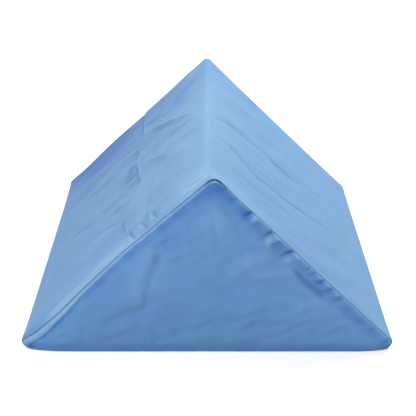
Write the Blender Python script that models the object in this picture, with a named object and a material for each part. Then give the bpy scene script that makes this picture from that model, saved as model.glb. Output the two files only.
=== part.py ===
"""Orthopedic wedge cushion: a foam wedge in a fitted cloth cover, lying on its flat base.

Units are metres. +Z is up, the ridge runs along Y, the near end is at -Y, and the origin is
under the middle of the wedge, on the surface that it lies on. Places on a slope are given by
u, the distance down the slope from the ridge, and v, the distance from the near end. Places on
an end panel are given by x and z.
"""

import math

import bmesh
import bpy
from mathutils import Vector

# Driving sizes of the filled wedge
WIDTH = 0.500
LENGTH = 0.508
HEIGHT = 0.2535
RIDGE_ROUND = 0.009
BASE_ROUND = 0.008
SMALLEST_ROUND = 0.0025

# The cloth
PANEL_THICKNESS = 0.0016
PLACKET_THICKNESS = 0.0020
GAP = 0.0006

# Crown of the slopes, and how the cloth rolls down towards the end seams
SLOPE_CROWN = 0.0035
FRONT_ROLL_DROP = 0.0010
FRONT_ROLL_REACH = 0.055
REAR_ROLL_DROP = 0.0055
REAR_ROLL_REACH = 0.040

# The rim: the wrap turns over it at each end before it meets the panel in the seam groove
SEAM_INSET = {"left": 0.0026, "right": 0.0010, "base": 0.0008}
RIM_PROFILE = (
    # share of the seam inset, depth behind the foremost line of the rim
    (0.00, 0.0045),
    (0.10, 0.0028),
    (0.34, 0.0011),
    (0.66, 0.0000),
    (0.92, 0.0005),
    (1.00, 0.0016),
    (1.00, 0.0065),
)

# The near seam swings in towards the foot of the left slope
LEFT_SEAM_SWING = (
    # share of the way down the slope, extra inset
    (0.40, 0.0000),
    (0.62, 0.0024),
    (0.78, 0.0046),
    (0.88, 0.0042),
    (0.98, 0.0000),
)

# The near panel's cloth comes round the edges, so its rim stands back except along the base
FRONT_SETBACK = 0.0075
FOOT_RISE = 0.014
FOOT_CORNER_REACH = 0.045
FOOT_END_REACH = 0.060
FRONT_APEX_SHIFT = 0.0075
APEX_SHIFT_REACH = 0.040

# How far each base corner is drawn up off the surface, and along Y
LIFT_FADE_HEIGHT = 0.110
CORNER_LIFTS = (
    # side, end, lift, reach along x, reach along y, pull along y
    (-1, -1, 0.0058, 0.095, 0.080, 0.000),
    (+1, -1, 0.0045, 0.045, 0.070, 0.000),
    (-1, +1, 0.0095, 0.070, 0.070, 0.004),
    (+1, +1, 0.0030, 0.100, 0.080, -0.011),
)

# The placket: the wrap's upper part overlaps the lower part and ends in this hemmed strip
PLACKET_TOP = 0.1040
PLACKET_EDGE = 0.1470
PLACKET_END_GAP = 0.006
PLACKET_LOOSE_LIFT = 0.0014
OVERLAP_STEP = 0.0024
OVERLAP_STEP_WIDTH = 0.005
OVERLAP_END_REACH = 0.009
PLACKET_EDGE_WAVES = (
    # distance from the near end, swing of the loose edge down the slope
    (0.000, -0.006),
    (0.030, -0.008),
    (0.075, 0.006),
    (0.120, 0.011),
    (0.160, 0.001),
    (0.215, -0.008),
    (0.265, -0.001),
    (0.330, 0.003),
    (0.400, 0.000),
    (0.510, 0.003),
)

# Main folds: each is a soft ridge, or a trough where its height is negative, on a bowed line
RIGHT_SLOPE_FOLDS = (
    # start u, start v, end u, end v, bow, half width, height
    (0.004, 0.257, 0.255, 0.322, 0.007, 0.009, -0.0016),
    (0.010, 0.271, 0.245, 0.338, 0.007, 0.010, 0.0010),
    (0.010, 0.142, 0.200, 0.195, 0.010, 0.009, -0.0015),
    (0.015, 0.158, 0.190, 0.208, 0.010, 0.010, 0.0009),
    (0.110, 0.226, 0.270, 0.262, 0.004, 0.011, -0.0009),
)
LEFT_SLOPE_FOLDS = (
    # start u, start v, end u, end v, bow, half width, height
    (0.033, 0.458, 0.102, 0.464, 0.000, 0.009, -0.0020),
    (0.042, 0.438, 0.100, 0.443, 0.000, 0.009, 0.0014),
    (0.068, 0.419, 0.103, 0.402, 0.000, 0.009, -0.0018),
    (0.047, 0.293, 0.098, 0.275, 0.000, 0.010, -0.0013),
    (0.146, 0.380, 0.205, 0.387, 0.000, 0.009, -0.0020),
    (0.150, 0.312, 0.190, 0.350, 0.000, 0.009, 0.0014),
    (0.150, 0.277, 0.186, 0.298, 0.000, 0.009, -0.0022),
    (0.146, 0.255, 0.182, 0.241, 0.000, 0.009, -0.0018),
    (0.146, 0.187, 0.200, 0.178, 0.000, 0.010, -0.0015),
)
FRONT_PANEL_FOLDS = (
    # start x, start z, end x, end z, bow, half width, height
    (-0.065, 0.195, -0.081, 0.078, 0.000, 0.014, 0.0022),
    (-0.051, 0.168, -0.078, 0.062, 0.0035, 0.011, -0.0022),
    (-0.072, 0.066, -0.135, 0.052, 0.000, 0.012, -0.0016),
    (0.026, 0.118, 0.074, 0.158, 0.000, 0.011, 0.0016),
    (0.062, 0.120, 0.120, 0.122, 0.000, 0.010, 0.0015),
    (0.004, 0.120, 0.060, 0.083, 0.000, 0.012, -0.0016),
    (0.122, 0.067, 0.162, 0.083, 0.000, 0.011, 0.0014),
    (0.094, 0.134, 0.168, 0.080, 0.005, 0.008, -0.0026),
    (-0.003, 0.238, 0.031, 0.203, 0.000, 0.009, -0.0024),
)
REAR_PANEL_FOLDS = (
    # start x, start z, end x, end z, bow, half width, height
    (-0.090, 0.060, 0.010, 0.120, 0.006, 0.020, 0.0018),
    (0.040, 0.050, 0.090, 0.120, -0.004, 0.018, -0.0015),
    (0.120, 0.040, 0.180, 0.050, 0.000, 0.016, 0.0015),
)
FRONT_SEAM_PUCKERS = (
    # share of the way down the right seam, reach into the panel, half width, height
    (0.17, 0.026, 0.007, -0.0022),
    (0.22, 0.030, 0.008, 0.0020),
    (0.28, 0.030, 0.008, -0.0024),
    (0.33, 0.034, 0.008, 0.0022),
    (0.39, 0.030, 0.008, -0.0024),
    (0.44, 0.030, 0.007, 0.0018),
    (0.53, 0.022, 0.006, -0.0018),
    (0.59, 0.022, 0.006, -0.0018),
    (0.84, 0.026, 0.008, -0.0018),
)
FOLD_FADE = 0.15
FOLD_END_REACH = 0.030

# How the end panels rise out of the seam groove, roll over the edge and crown
PANEL_SEAM_DEPTH = 0.0028
PANEL_LIP_REACH = 0.0035
PANEL_LIP_SHARE = 0.56
PANEL_ROLL_REACH = 0.018
PANEL_CROWN = 0.0050
PANEL_CROWN_REACH = 0.090

# Beside the foot of the near left seam the panel's cloth puffs up in a roll with a crease below
TONGUE_WIDTH = (
    # share of the way down the seam, width of the roll
    (0.56, 0.0035),
    (0.70, 0.0080),
    (0.80, 0.0120),
    (0.90, 0.0145),
    (1.00, 0.0100),
)
TONGUE_CREASE_WIDTH = 0.0045
TONGUE_CREASE_DEPTH = 0.0016

# How finely each surface is divided
SLOPE_LINES = (0.012, 0.030, 0.050, 0.070, 0.086, 0.0985, 0.1045, 0.125, 0.145, 0.158, 0.175,
               0.195, 0.215, 0.240, 0.265, 0.290, 0.315, 0.334)
PLACKET_SHARES = (0.0, 0.16, 0.34, 0.56, 0.78, 1.0)
BASE_SHARES = (0.04, 0.09, 0.15, 0.30, 0.70, 0.85, 0.91, 0.96)
CORNER_STEPS = 4
STATIONS = 50
FRONT_PANEL_DIVISIONS = 34
REAR_PANEL_DIVISIONS = 20
OUTLINE_STEPS = 30
CORNER_CLUSTERING = 1.5

COVER_BLUE = (0.125, 0.285, 0.575, 1.0)
COVER_ROUGHNESS = 0.82
SMOOTHING_ANGLE = math.radians(50)


def smooth(share):
    """Ease from 0 to 1 as share goes from 0 to 1."""
    share = min(max(share, 0.0), 1.0)
    return share * share * (3.0 - 2.0 * share)


def hump(share):
    """1 at the middle of a stretch and 0 at both ends."""
    return math.sin(math.pi * min(max(share, 0.0), 1.0))


def fall(distance, reach):
    """1 at no distance, easing to 0 at the reach."""
    return min(max(1.0 - distance / reach, 0.0), 1.0) ** 2


def along_table(table, place):
    """Smooth value at a place in a two-column table sorted by its first column."""
    if place <= table[0][0]:
        return table[0][1]
    for (start, low), (end, high) in zip(table, table[1:]):
        if place <= end:
            return low + (high - low) * smooth((place - start) / (end - start))
    return table[-1][1]


def fold_height(folds, p, q):
    """Height that a table of folds gives at a point."""
    total = 0.0
    for start_p, start_q, end_p, end_q, bow, half_width, height in folds:
        run_p, run_q = end_p - start_p, end_q - start_q
        length = math.hypot(run_p, run_q)
        share = ((p - start_p) * run_p + (q - start_q) * run_q) / length**2
        aside = ((p - start_p) * run_q - (q - start_q) * run_p) / length - bow * hump(share)
        ends = smooth((share + FOLD_FADE) / (2 * FOLD_FADE))
        ends *= smooth((1.0 + FOLD_FADE - share) / (2 * FOLD_FADE))
        total += height * ends * math.exp(-((aside / half_width) ** 2))
    return total


def direction(angle):
    """Outward direction at an angle from straight up, turning towards +X."""
    return Vector((math.sin(angle), math.cos(angle)))


def slope_angle():
    """Angle of the right slope's outward direction: it touches the ridge and base rounds."""
    run = WIDTH / 2 - BASE_ROUND
    drop = HEIGHT - RIDGE_ROUND - BASE_ROUND
    return math.atan2(drop, run) + math.asin((RIDGE_ROUND - BASE_ROUND) / math.hypot(run, drop))


SIDE_ANGLES = {"left": -slope_angle(), "right": slope_angle(), "base": math.pi}
SLOPE_REACH = math.cos(slope_angle()) * (HEIGHT - RIDGE_ROUND) + RIDGE_ROUND
SIDE_REACH = {"left": SLOPE_REACH, "right": SLOPE_REACH, "base": 0.0}


def meet(first, second, insets, deeper=0.0):
    """Where two sides of the section meet, each moved in by its inset and a bit deeper."""
    n1, n2 = direction(SIDE_ANGLES[first]), direction(SIDE_ANGLES[second])
    r1 = SIDE_REACH[first] - insets[first] - deeper
    r2 = SIDE_REACH[second] - insets[second] - deeper
    det = n1.x * n2.y - n1.y * n2.x
    return Vector(((r1 * n2.y - r2 * n1.y) / det, (n1.x * r2 - n2.x * r1) / det))


NO_INSET = {"left": 0.0, "right": 0.0, "base": 0.0}
SLOPE_LENGTH = (meet("left", "right", NO_INSET) - meet("right", "base", NO_INSET)).length


class Rim:
    """The section's outline at one turn round the rim: 0 on the sleeve, 1 in the seam groove."""

    def __init__(self, turn, front, extra=0.0):
        self.turn = turn
        self.front = front
        self.insets = {side: inset * turn + extra for side, inset in SEAM_INSET.items()}

    def slope(self, side, u, v):
        """Point on a slope, with its crown and folds, and the outward direction there."""
        if self.turn > 0.0:
            v = 0.0 if self.front else LENGTH
        outward = direction(SIDE_ANGLES[side])
        top, foot = meet("left", "right", self.insets), meet(side, "base", self.insets)
        share = u / SLOPE_LENGTH
        height = slope_relief(side, u, v)
        if self.front and side == "left":
            height -= along_table(LEFT_SEAM_SWING, share) * self.turn
        return top.lerp(foot, share) + outward * height, outward

    def corner(self, first, second, share):
        """Point on a rounded corner, share 0 at its first side and 1 at its second."""
        radius = BASE_ROUND if "base" in (first, second) else RIDGE_ROUND
        radius = max(radius - (self.insets[first] + self.insets[second]) / 2, SMALLEST_ROUND)
        start = -math.pi if first == "base" else SIDE_ANGLES[first]
        outward = direction(start + (SIDE_ANGLES[second] - start) * share)
        return meet(first, second, self.insets, radius) + outward * radius

    def ring(self, v):
        """Points right round the wedge at a distance from the near end."""
        steps = [step / CORNER_STEPS for step in range(CORNER_STEPS + 1)]
        left_foot = [self.corner("base", "left", s) for s in steps]
        left = [self.slope("left", u, v)[0] for u in reversed(SLOPE_LINES)]
        ridge = [self.corner("left", "right", s) for s in steps]
        right = [self.slope("right", u, v)[0] for u in SLOPE_LINES]
        right_foot = [self.corner("right", "base", s) for s in steps]
        base = [right_foot[-1].lerp(left_foot[0], s) for s in BASE_SHARES]
        return left_foot + left + ridge + right + right_foot + base

    def outline(self):
        """The seam as three runs of points: ridge to left foot, to right foot, to ridge."""
        half = [0.5 * step / CORNER_STEPS for step in range(CORNER_STEPS + 1)]
        first, last = SLOPE_LINES[0], SLOPE_LINES[-1]
        lines = [first + (last - first) * i / OUTLINE_STEPS for i in range(OUTLINE_STEPS + 1)]
        left = [self.corner("left", "right", 0.5 - s) for s in half]
        left += [self.slope("left", u, 0.0)[0] for u in lines]
        left += [self.corner("base", "left", 1.0 - s) for s in half]
        base = [self.corner("base", "left", 0.5 - s) for s in half]
        base += [self.corner("right", "base", 1.0 - s) for s in half]
        right = [self.corner("right", "base", 0.5 - s) for s in half]
        right += [self.slope("right", u, 0.0)[0] for u in reversed(lines)]
        right += [self.corner("left", "right", 1.0 - s) for s in half]
        return left, base, right


def slope_relief(side, u, v):
    """Height of the cloth above a flat slope."""
    across = hump(u / SLOPE_LENGTH)
    to_end = min(v, LENGTH - v)
    height = SLOPE_CROWN * across
    height -= FRONT_ROLL_DROP * across * fall(v, FRONT_ROLL_REACH)
    height -= REAR_ROLL_DROP * across * fall(LENGTH - v, REAR_ROLL_REACH)
    if side == "left":
        overlap = smooth((PLACKET_TOP - u) / OVERLAP_STEP_WIDTH)
        height += OVERLAP_STEP * overlap * smooth(to_end / OVERLAP_END_REACH)
        folds = LEFT_SLOPE_FOLDS
    else:
        folds = RIGHT_SLOPE_FOLDS
    return height + fold_height(folds, u, v) * smooth(to_end / FOLD_END_REACH)


def settle(point, y):
    """World point: the near apex is set aside, the near foot comes forward to the front, and the
    base corners are drawn up and along."""
    x, z = point
    near_end = max(1.0 - (y + LENGTH / 2) / APEX_SHIFT_REACH, 0.0)
    x += FRONT_APEX_SHIFT * smooth(1.6 * z / HEIGHT - 0.6) * near_end
    low = max(1.0 - z / LIFT_FADE_HEIGHT, 0.0)
    foot = fall(z, FOOT_RISE) * (1.0 - fall(WIDTH / 2 - abs(x), FOOT_CORNER_REACH))
    foot *= min(max(1.0 - (y + LENGTH / 2) / FOOT_END_REACH, 0.0), 1.0)
    lifted_z, pulled_y = z, y - FRONT_SETBACK * foot
    for side, end, lift, reach_x, reach_y, pull in CORNER_LIFTS:
        near = fall(WIDTH / 2 - side * x, reach_x) * fall(LENGTH / 2 - end * y, reach_y) * low
        lifted_z += lift * near
        pulled_y += pull * near * end
    return Vector((x, pulled_y, lifted_z))


def stations():
    """Where the body's rings lie: distance from the near end, and the turn round the rim."""
    front = [(FRONT_SETBACK + depth, Rim(turn, True)) for turn, depth in reversed(RIM_PROFILE)]
    rear = [(LENGTH - depth, Rim(turn, False)) for turn, depth in RIM_PROFILE]
    start, end = front[-1][0], rear[0][0]
    sleeve = [(start + (end - start) * i / STATIONS, Rim(0.0, True)) for i in range(1, STATIONS)]
    return front + sleeve + rear


def cover_cloth(name):
    """Light blue woven cover cloth."""
    material = bpy.data.materials.new(name + "_cloth")
    material.use_nodes = True
    shader = material.node_tree.nodes["Principled BSDF"]
    shader.inputs["Base Color"].default_value = COVER_BLUE
    shader.inputs["Roughness"].default_value = COVER_ROUGHNESS
    shader.inputs["Metallic"].default_value = 0.0
    return material


def new_object(name, bm):
    """Make a named object of a closed bmesh, with its faces turned out and shaded smooth."""
    bmesh.ops.recalc_face_normals(bm, faces=bm.faces)
    mesh = bpy.data.meshes.new(name)
    bm.to_mesh(mesh)
    bm.free()
    mesh.shade_smooth()
    mesh.set_sharp_from_angle(angle=SMOOTHING_ANGLE)
    mesh.materials.append(cover_cloth(name))
    cushion_part = bpy.data.objects.new(name, mesh)
    bpy.context.scene.collection.objects.link(cushion_part)


def make_body():
    """The filled wedge in its wrap: rings along Y, closed behind each end panel."""
    bm = bmesh.new()
    rings = [[bm.verts.new(settle(point, v - LENGTH / 2)) for point in rim.ring(v)]
             for v, rim in stations()]
    count = len(rings[0])
    for near, far in zip(rings, rings[1:]):
        for i in range(count):
            j = (i + 1) % count
            bm.faces.new((near[i], near[j], far[j], far[i]))
    bm.faces.new(rings[0])
    bm.faces.new(rings[-1][::-1])
    resting = [face for face in bm.faces if all(abs(vert.co.z) < 1e-7 for vert in face.verts)]
    bmesh.ops.dissolve_faces(bm, faces=resting)
    new_object("cushion_body", bm)


def point_along(run, share):
    """Point at a share of a run's length."""
    lengths = [(b - a).length for a, b in zip(run, run[1:])]
    wanted = share * sum(lengths)
    for start, end, length in zip(run, run[1:], lengths):
        if wanted <= length:
            return start.lerp(end, wanted / length)
        wanted -= length
    return run[-1].copy()


def panel_point(outline, ridge, left, right):
    """Point in a panel from its three weights, which add up to 1."""
    corners = [run[0] for run in outline]
    flat = corners[0] * ridge + corners[1] * left + corners[2] * right
    weights = ((ridge, left), (left, right), (right, ridge))
    for i, (start, end) in enumerate(weights):
        if start + end > 0.0:
            share = end / (start + end)
            straight = corners[i].lerp(corners[(i + 1) % 3], share)
            flat += (point_along(outline[i], share) - straight) * (start + end) ** 2
    return flat


def pucker_height(puckers, share, inward):
    """Height of the short puckers that run into a panel from its right seam."""
    total = 0.0
    for place, reach, half_width, height in puckers:
        aside = (share - place) * SLOPE_LENGTH
        total += height * fall(inward, reach) * math.exp(-((aside / half_width) ** 2))
    return total


def panel_roll(front, inward, left_share):
    """How far behind the front plane a panel's face lies as it rolls over its edges."""
    depth = PANEL_SEAM_DEPTH + (FRONT_SETBACK if front else 0.0)
    rolled = depth * fall(inward[2], FOOT_RISE)
    for distance in inward[:2]:
        lip = PANEL_LIP_SHARE * fall(distance, PANEL_LIP_REACH)
        roll = (1.0 - PANEL_LIP_SHARE) * fall(distance, PANEL_ROLL_REACH)
        rolled = max(rolled, depth * (lip + roll))
    if front:
        width = along_table(TONGUE_WIDTH, left_share)
        puffed = smooth((left_share - TONGUE_WIDTH[0][0]) / 0.15)
        rolled = max(rolled, depth * puffed * fall(inward[0], width))
        aside = (inward[0] - width) / TONGUE_CREASE_WIDTH
        rolled += TONGUE_CREASE_DEPTH * puffed * math.exp(-(aside**2))
    return rolled


def panel_height(front, point, ridge, left, right):
    """Height of an end panel's face in front of the end plane."""
    slope_width = WIDTH * HEIGHT / SLOPE_LENGTH
    inward = (right * slope_width, left * slope_width, ridge * HEIGHT)
    crown = PANEL_CROWN
    for distance in inward:
        crown *= smooth(distance / PANEL_CROWN_REACH)
    left_share = left / (left + ridge) if left + ridge > 0.0 else 0.0
    height = crown - panel_roll(front, inward, left_share)
    folds = FRONT_PANEL_FOLDS if front else REAR_PANEL_FOLDS
    height += fold_height(folds, point.x, point.y) * smooth(min(inward) / PANEL_ROLL_REACH)
    if front:
        share = right / (right + ridge) if right + ridge > 0.0 else 0.0
        puckers = pucker_height(FRONT_SEAM_PUCKERS, share, inward[1])
        height += puckers * smooth(inward[1] / PANEL_LIP_REACH)
    return height


def make_panel(name, front, divisions):
    """A triangle of cloth sewn into one end: a face, a back one thickness behind it, an edge."""
    bm = bmesh.new()
    outline = Rim(1.0, front, GAP).outline()
    outward = -1.0 if front else 1.0
    faces, backs = {}, {}
    for i in range(divisions + 1):
        for j in range(divisions + 1 - i):
            k = divisions - i - j
            clustered = [(n / divisions) ** CORNER_CLUSTERING for n in (i, j, k)]
            ridge, left, right = [weight / sum(clustered) for weight in clustered]
            point = panel_point(outline, ridge, left, right)
            height = panel_height(front, point, ridge, left, right)
            y = outward * (LENGTH / 2 + height)
            faces[i, j] = bm.verts.new(settle(point, y))
            backs[i, j] = bm.verts.new(settle(point, y - outward * PANEL_THICKNESS))
    for i in range(divisions):
        for j in range(divisions - i):
            cell = ((i, j), (i + 1, j), (i, j + 1))
            bm.faces.new([faces[key] for key in cell])
            bm.faces.new([backs[key] for key in reversed(cell)])
            if i + j < divisions - 1:
                cell = ((i + 1, j), (i + 1, j + 1), (i, j + 1))
                bm.faces.new([faces[key] for key in cell])
                bm.faces.new([backs[key] for key in reversed(cell)])
    edge = [(i, 0) for i in range(divisions)]
    edge += [(divisions - j, j) for j in range(divisions)]
    edge += [(0, j) for j in range(divisions, 0, -1)]
    for start, end in zip(edge, edge[1:] + edge[:1]):
        bm.faces.new((faces[start], backs[start], backs[end], faces[end]))
    new_object(name, bm)


def make_placket():
    """The hemmed overlap strip on the left slope, loose along its lower edge."""
    bm = bmesh.new()
    sleeve = Rim(0.0, True)
    columns = [v for v, rim in stations()
               if rim.turn == 0.0 and PLACKET_END_GAP < v < LENGTH - PLACKET_END_GAP]
    tops, unders = [], []
    for v in columns:
        edge = PLACKET_EDGE + along_table(PLACKET_EDGE_WAVES, v)
        start = PLACKET_TOP + 2 * GAP
        top_row, under_row = [], []
        for share in PLACKET_SHARES:
            u = start + (edge - start) * share
            clear = GAP + PLACKET_LOOSE_LIFT * share**2
            point, outward = sleeve.slope("left", u, v)
            y = v - LENGTH / 2
            under_row.append(bm.verts.new(settle(point + outward * clear, y)))
            top_row.append(bm.verts.new(settle(point + outward * (clear + PLACKET_THICKNESS), y)))
        tops.append(top_row)
        unders.append(under_row)
    last = len(PLACKET_SHARES) - 1
    for near in range(len(columns) - 1):
        far = near + 1
        for i in range(last):
            bm.faces.new((tops[near][i], tops[near][i + 1], tops[far][i + 1], tops[far][i]))
            bm.faces.new((unders[near][i], unders[far][i], unders[far][i + 1],
                          unders[near][i + 1]))
        for i in (0, last):
            bm.faces.new((tops[near][i], tops[far][i], unders[far][i], unders[near][i]))
    for column in (0, len(columns) - 1):
        bm.faces.new(tops[column] + unders[column][::-1])
    new_object("closure_placket", bm)


def main():
    for item in list(bpy.data.objects):
        bpy.data.objects.remove(item)
    make_body()
    make_panel("front_end_panel", True, FRONT_PANEL_DIVISIONS)
    make_panel("rear_end_panel", False, REAR_PANEL_DIVISIONS)
    make_placket()


main()
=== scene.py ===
"""Foam wedge cushion in a fitted light blue cotton cover: its cloth, seams, stitching and studio.

Units are metres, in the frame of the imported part. Places on a slope are given by u, the distance
down the slope from the ridge, and v, the distance from the near end. Places on an end panel are
given by x and z. A wave's radian length is its period divided by tau.
"""

import math

import bpy
import numpy as np
from bpy.props import FloatProperty, FloatVectorProperty, IntProperty, PointerProperty
from mathutils import Matrix, Vector


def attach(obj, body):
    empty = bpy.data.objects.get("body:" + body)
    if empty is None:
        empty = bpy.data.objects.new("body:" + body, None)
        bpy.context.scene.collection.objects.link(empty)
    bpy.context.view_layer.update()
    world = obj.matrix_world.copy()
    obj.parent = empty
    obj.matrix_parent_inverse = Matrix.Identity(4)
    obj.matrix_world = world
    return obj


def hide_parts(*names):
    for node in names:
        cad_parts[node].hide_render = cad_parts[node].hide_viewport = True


bl_info = {
    "name": "Wedge Cushion Cover",
    "version": (1, 0, 0),
    "blender": (4, 5, 0),
    "location": "3D View > Sidebar > Cushion",
    "description": "Sews the cloth cover of a foam wedge cushion and sets it in a pale studio",
    "category": "Add Mesh",
}

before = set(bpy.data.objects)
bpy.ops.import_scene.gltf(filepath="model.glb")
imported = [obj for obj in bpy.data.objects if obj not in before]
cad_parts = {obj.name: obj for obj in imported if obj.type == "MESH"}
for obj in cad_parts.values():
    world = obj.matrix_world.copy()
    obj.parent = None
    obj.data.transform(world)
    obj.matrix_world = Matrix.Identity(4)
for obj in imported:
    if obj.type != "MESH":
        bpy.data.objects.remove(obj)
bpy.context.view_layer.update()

# Driving sizes of the filled wedge
WIDTH = 0.500
LENGTH = 0.508
HEIGHT = 0.2535
RIDGE_ROUND = 0.009
BASE_ROUND = 0.008
SMALLEST_ROUND = 0.0025

# The cloth
PANEL_THICKNESS = 0.0016
PLACKET_THICKNESS = 0.0020
SEAM_GAP = 0.00018

# Crown of the slopes, and how the cloth rolls down towards the end seams
SLOPE_CROWN = 0.0035
FRONT_ROLL_DROP = 0.0010
FRONT_ROLL_REACH = 0.055
REAR_ROLL_DROP = 0.0055
REAR_ROLL_REACH = 0.040

# The rim: the wrap turns over it at each end before it meets the panel in the seam groove
SEAM_INSET = {"left": 0.0026, "right": 0.0010, "base": 0.0008}
RIM_PROFILE = (
    # share of the seam inset, depth behind the foremost line of the rim
    (0.00, 0.0045),
    (0.03, 0.0036),
    (0.10, 0.0028),
    (0.20, 0.0019),
    (0.34, 0.0011),
    (0.50, 0.0004),
    (0.66, 0.0000),
    (0.80, 0.0001),
    (0.92, 0.0003),
    (0.98, 0.0006),
    (1.00, 0.0011),
    (1.00, 0.0065),
)

# The near seam swings in towards the foot of the left slope
LEFT_SEAM_SWING = (
    # share of the way down the slope, extra inset
    (0.40, 0.0000),
    (0.62, 0.0024),
    (0.78, 0.0046),
    (0.88, 0.0042),
    (0.98, 0.0000),
)

# The near panel's cloth comes round the edges, so its rim stands back except along the base
FRONT_SETBACK = 0.0075
FOOT_RISE = 0.014
FOOT_CORNER_REACH = 0.045
FOOT_END_REACH = 0.060
FRONT_APEX_SHIFT = 0.0075
APEX_SHIFT_REACH = 0.040
APEX_SHIFT_START = 0.375
APEX_SPREAD = 0.0036
APEX_SPREAD_REACH = 0.012

# How far each base corner is drawn up off the surface, and along Y
LIFT_FADE_HEIGHT = 0.110
CORNER_LIFTS = (
    # side, end, lift, reach along x, reach along y, pull along y
    (-1, -1, 0.0058, 0.095, 0.080, 0.000),
    (+1, -1, 0.0045, 0.045, 0.070, 0.000),
    (-1, +1, 0.0095, 0.070, 0.070, 0.004),
    (+1, +1, 0.0030, 0.100, 0.080, -0.011),
)

# The placket: the wrap's upper part overlaps the lower part and ends in this hemmed strip
PLACKET_TOP = 0.1040
PLACKET_EDGE = 0.1470
PLACKET_END_GAP = 0.004
PLACKET_SINK = 0.0006
PLACKET_SINK_REACH = 0.0030
PLACKET_LOOSE_LIFT = 0.0002
PLACKET_LOOSE_REACH = 0.030
PLACKET_TAPER = 0.0035
PLACKET_EDGE_SHARE = 0.12
PLACKET_PRESSED_REACH = 0.110
PLACKET_PRESSED_SHARE = 0.02
PLACKET_FLAT_SINK = 0.0007
PLACKET_FLAT_WIDTH = 0.009
PLACKET_FLAT_REACH = 0.160
PLACKET_FEATHER = 0.0002
OVERLAP_STEP = 0.0024
OVERLAP_STEP_WIDTH = 0.0035
OVERLAP_END_REACH = 0.009
OVERLAP_RIDGE_REACH = 0.050
PLACKET_EDGE_WAVES = (
    # distance from the near end, swing of the loose edge down the slope
    (0.000, -0.010),
    (0.096, 0.007),
    (0.124, -0.002),
    (0.146, -0.010),
    (0.180, -0.018),
    (0.215, -0.012),
    (0.265, -0.004),
    (0.330, -0.001),
    (0.385, -0.006),
    (0.440, -0.003),
    (0.510, 0.000),
)

# Folds: each is a soft ridge, or a trough where its height is negative, on a bowed line
RIGHT_SLOPE_FOLDS = (
    # start u, start v, end u, end v, bow, half width, height
    (0.012, 0.160, 0.055, 0.172, 0.000, 0.007, -0.0010),
    (0.045, 0.172, 0.102, 0.145, 0.000, 0.0055, -0.0018),
    (0.095, 0.144, 0.190, 0.165, 0.003, 0.0055, -0.0020),
    (0.170, 0.161, 0.250, 0.186, 0.000, 0.006, -0.0010),
    (0.060, 0.186, 0.150, 0.172, 0.000, 0.008, 0.0010),
    (0.000, 0.224, 0.050, 0.262, 0.000, 0.007, -0.0016),
    (0.040, 0.261, 0.122, 0.268, 0.003, 0.0055, -0.0020),
    (0.056, 0.274, 0.125, 0.288, 0.000, 0.005, 0.0012),
    (0.130, 0.266, 0.186, 0.270, 0.000, 0.004, -0.0024),
    (0.190, 0.281, 0.262, 0.303, 0.000, 0.007, -0.0012),
    (0.100, 0.226, 0.200, 0.236, 0.003, 0.007, -0.0008),
    (0.030, 0.092, 0.150, 0.108, 0.004, 0.007, -0.0007),
    (0.060, 0.372, 0.230, 0.402, 0.004, 0.007, -0.0007),
    (0.004, 0.455, 0.050, 0.488, 0.000, 0.006, -0.0016),
)
LEFT_SLOPE_FOLDS = (
    # start u, start v, end u, end v, bow, half width, height
    (0.026, 0.434, 0.082, 0.388, 0.000, 0.0065, -0.0024),
    (0.030, 0.462, 0.094, 0.436, 0.000, 0.005, 0.0016),
    (0.030, 0.393, 0.078, 0.375, 0.000, 0.005, 0.0014),
    (0.044, 0.472, 0.112, 0.460, 0.000, 0.005, -0.0018),
    (0.080, 0.377, 0.100, 0.382, 0.000, 0.004, -0.0020),
    (0.104, 0.390, 0.140, 0.412, 0.000, 0.009, -0.0016),
    (0.130, 0.370, 0.036, 0.284, 0.003, 0.0045, 0.0015),
    (0.120, 0.346, 0.050, 0.276, 0.003, 0.0055, -0.0012),
    (0.070, 0.216, 0.022, 0.208, 0.000, 0.005, 0.0011),
    (0.078, 0.262, 0.026, 0.244, 0.000, 0.006, -0.0012),
    (0.080, 0.310, 0.040, 0.306, 0.000, 0.005, -0.0010),
    (0.122, 0.238, 0.072, 0.184, 0.003, 0.0045, 0.0008),
    (0.112, 0.212, 0.082, 0.176, 0.000, 0.0045, -0.0005),
    (0.148, 0.357, 0.198, 0.368, 0.000, 0.0045, -0.0014),
    (0.150, 0.334, 0.186, 0.342, 0.000, 0.005, 0.0014),
    (0.148, 0.306, 0.170, 0.308, 0.000, 0.0045, -0.0012),
    (0.149, 0.284, 0.172, 0.287, 0.000, 0.0045, 0.0014),
    (0.149, 0.265, 0.166, 0.268, 0.000, 0.0040, -0.0036),
    (0.148, 0.250, 0.168, 0.250, 0.000, 0.0040, 0.0026),
    (0.146, 0.229, 0.168, 0.236, 0.000, 0.0050, -0.0028),
    (0.140, 0.205, 0.160, 0.212, 0.000, 0.0045, 0.0012),
    (0.158, 0.182, 0.214, 0.190, 0.000, 0.0075, -0.0015),
    (0.155, 0.142, 0.186, 0.150, 0.000, 0.0070, -0.0014),
    (0.166, 0.102, 0.218, 0.130, 0.000, 0.0070, -0.0010),
    (0.232, 0.186, 0.284, 0.214, 0.000, 0.0090, -0.0014),
    (0.212, 0.306, 0.268, 0.318, 0.000, 0.0090, -0.0012),
    (0.200, 0.400, 0.300, 0.450, 0.004, 0.0140, -0.0014),
)
SLOPE_FOLDS = {"left": LEFT_SLOPE_FOLDS, "right": RIGHT_SLOPE_FOLDS}
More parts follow.
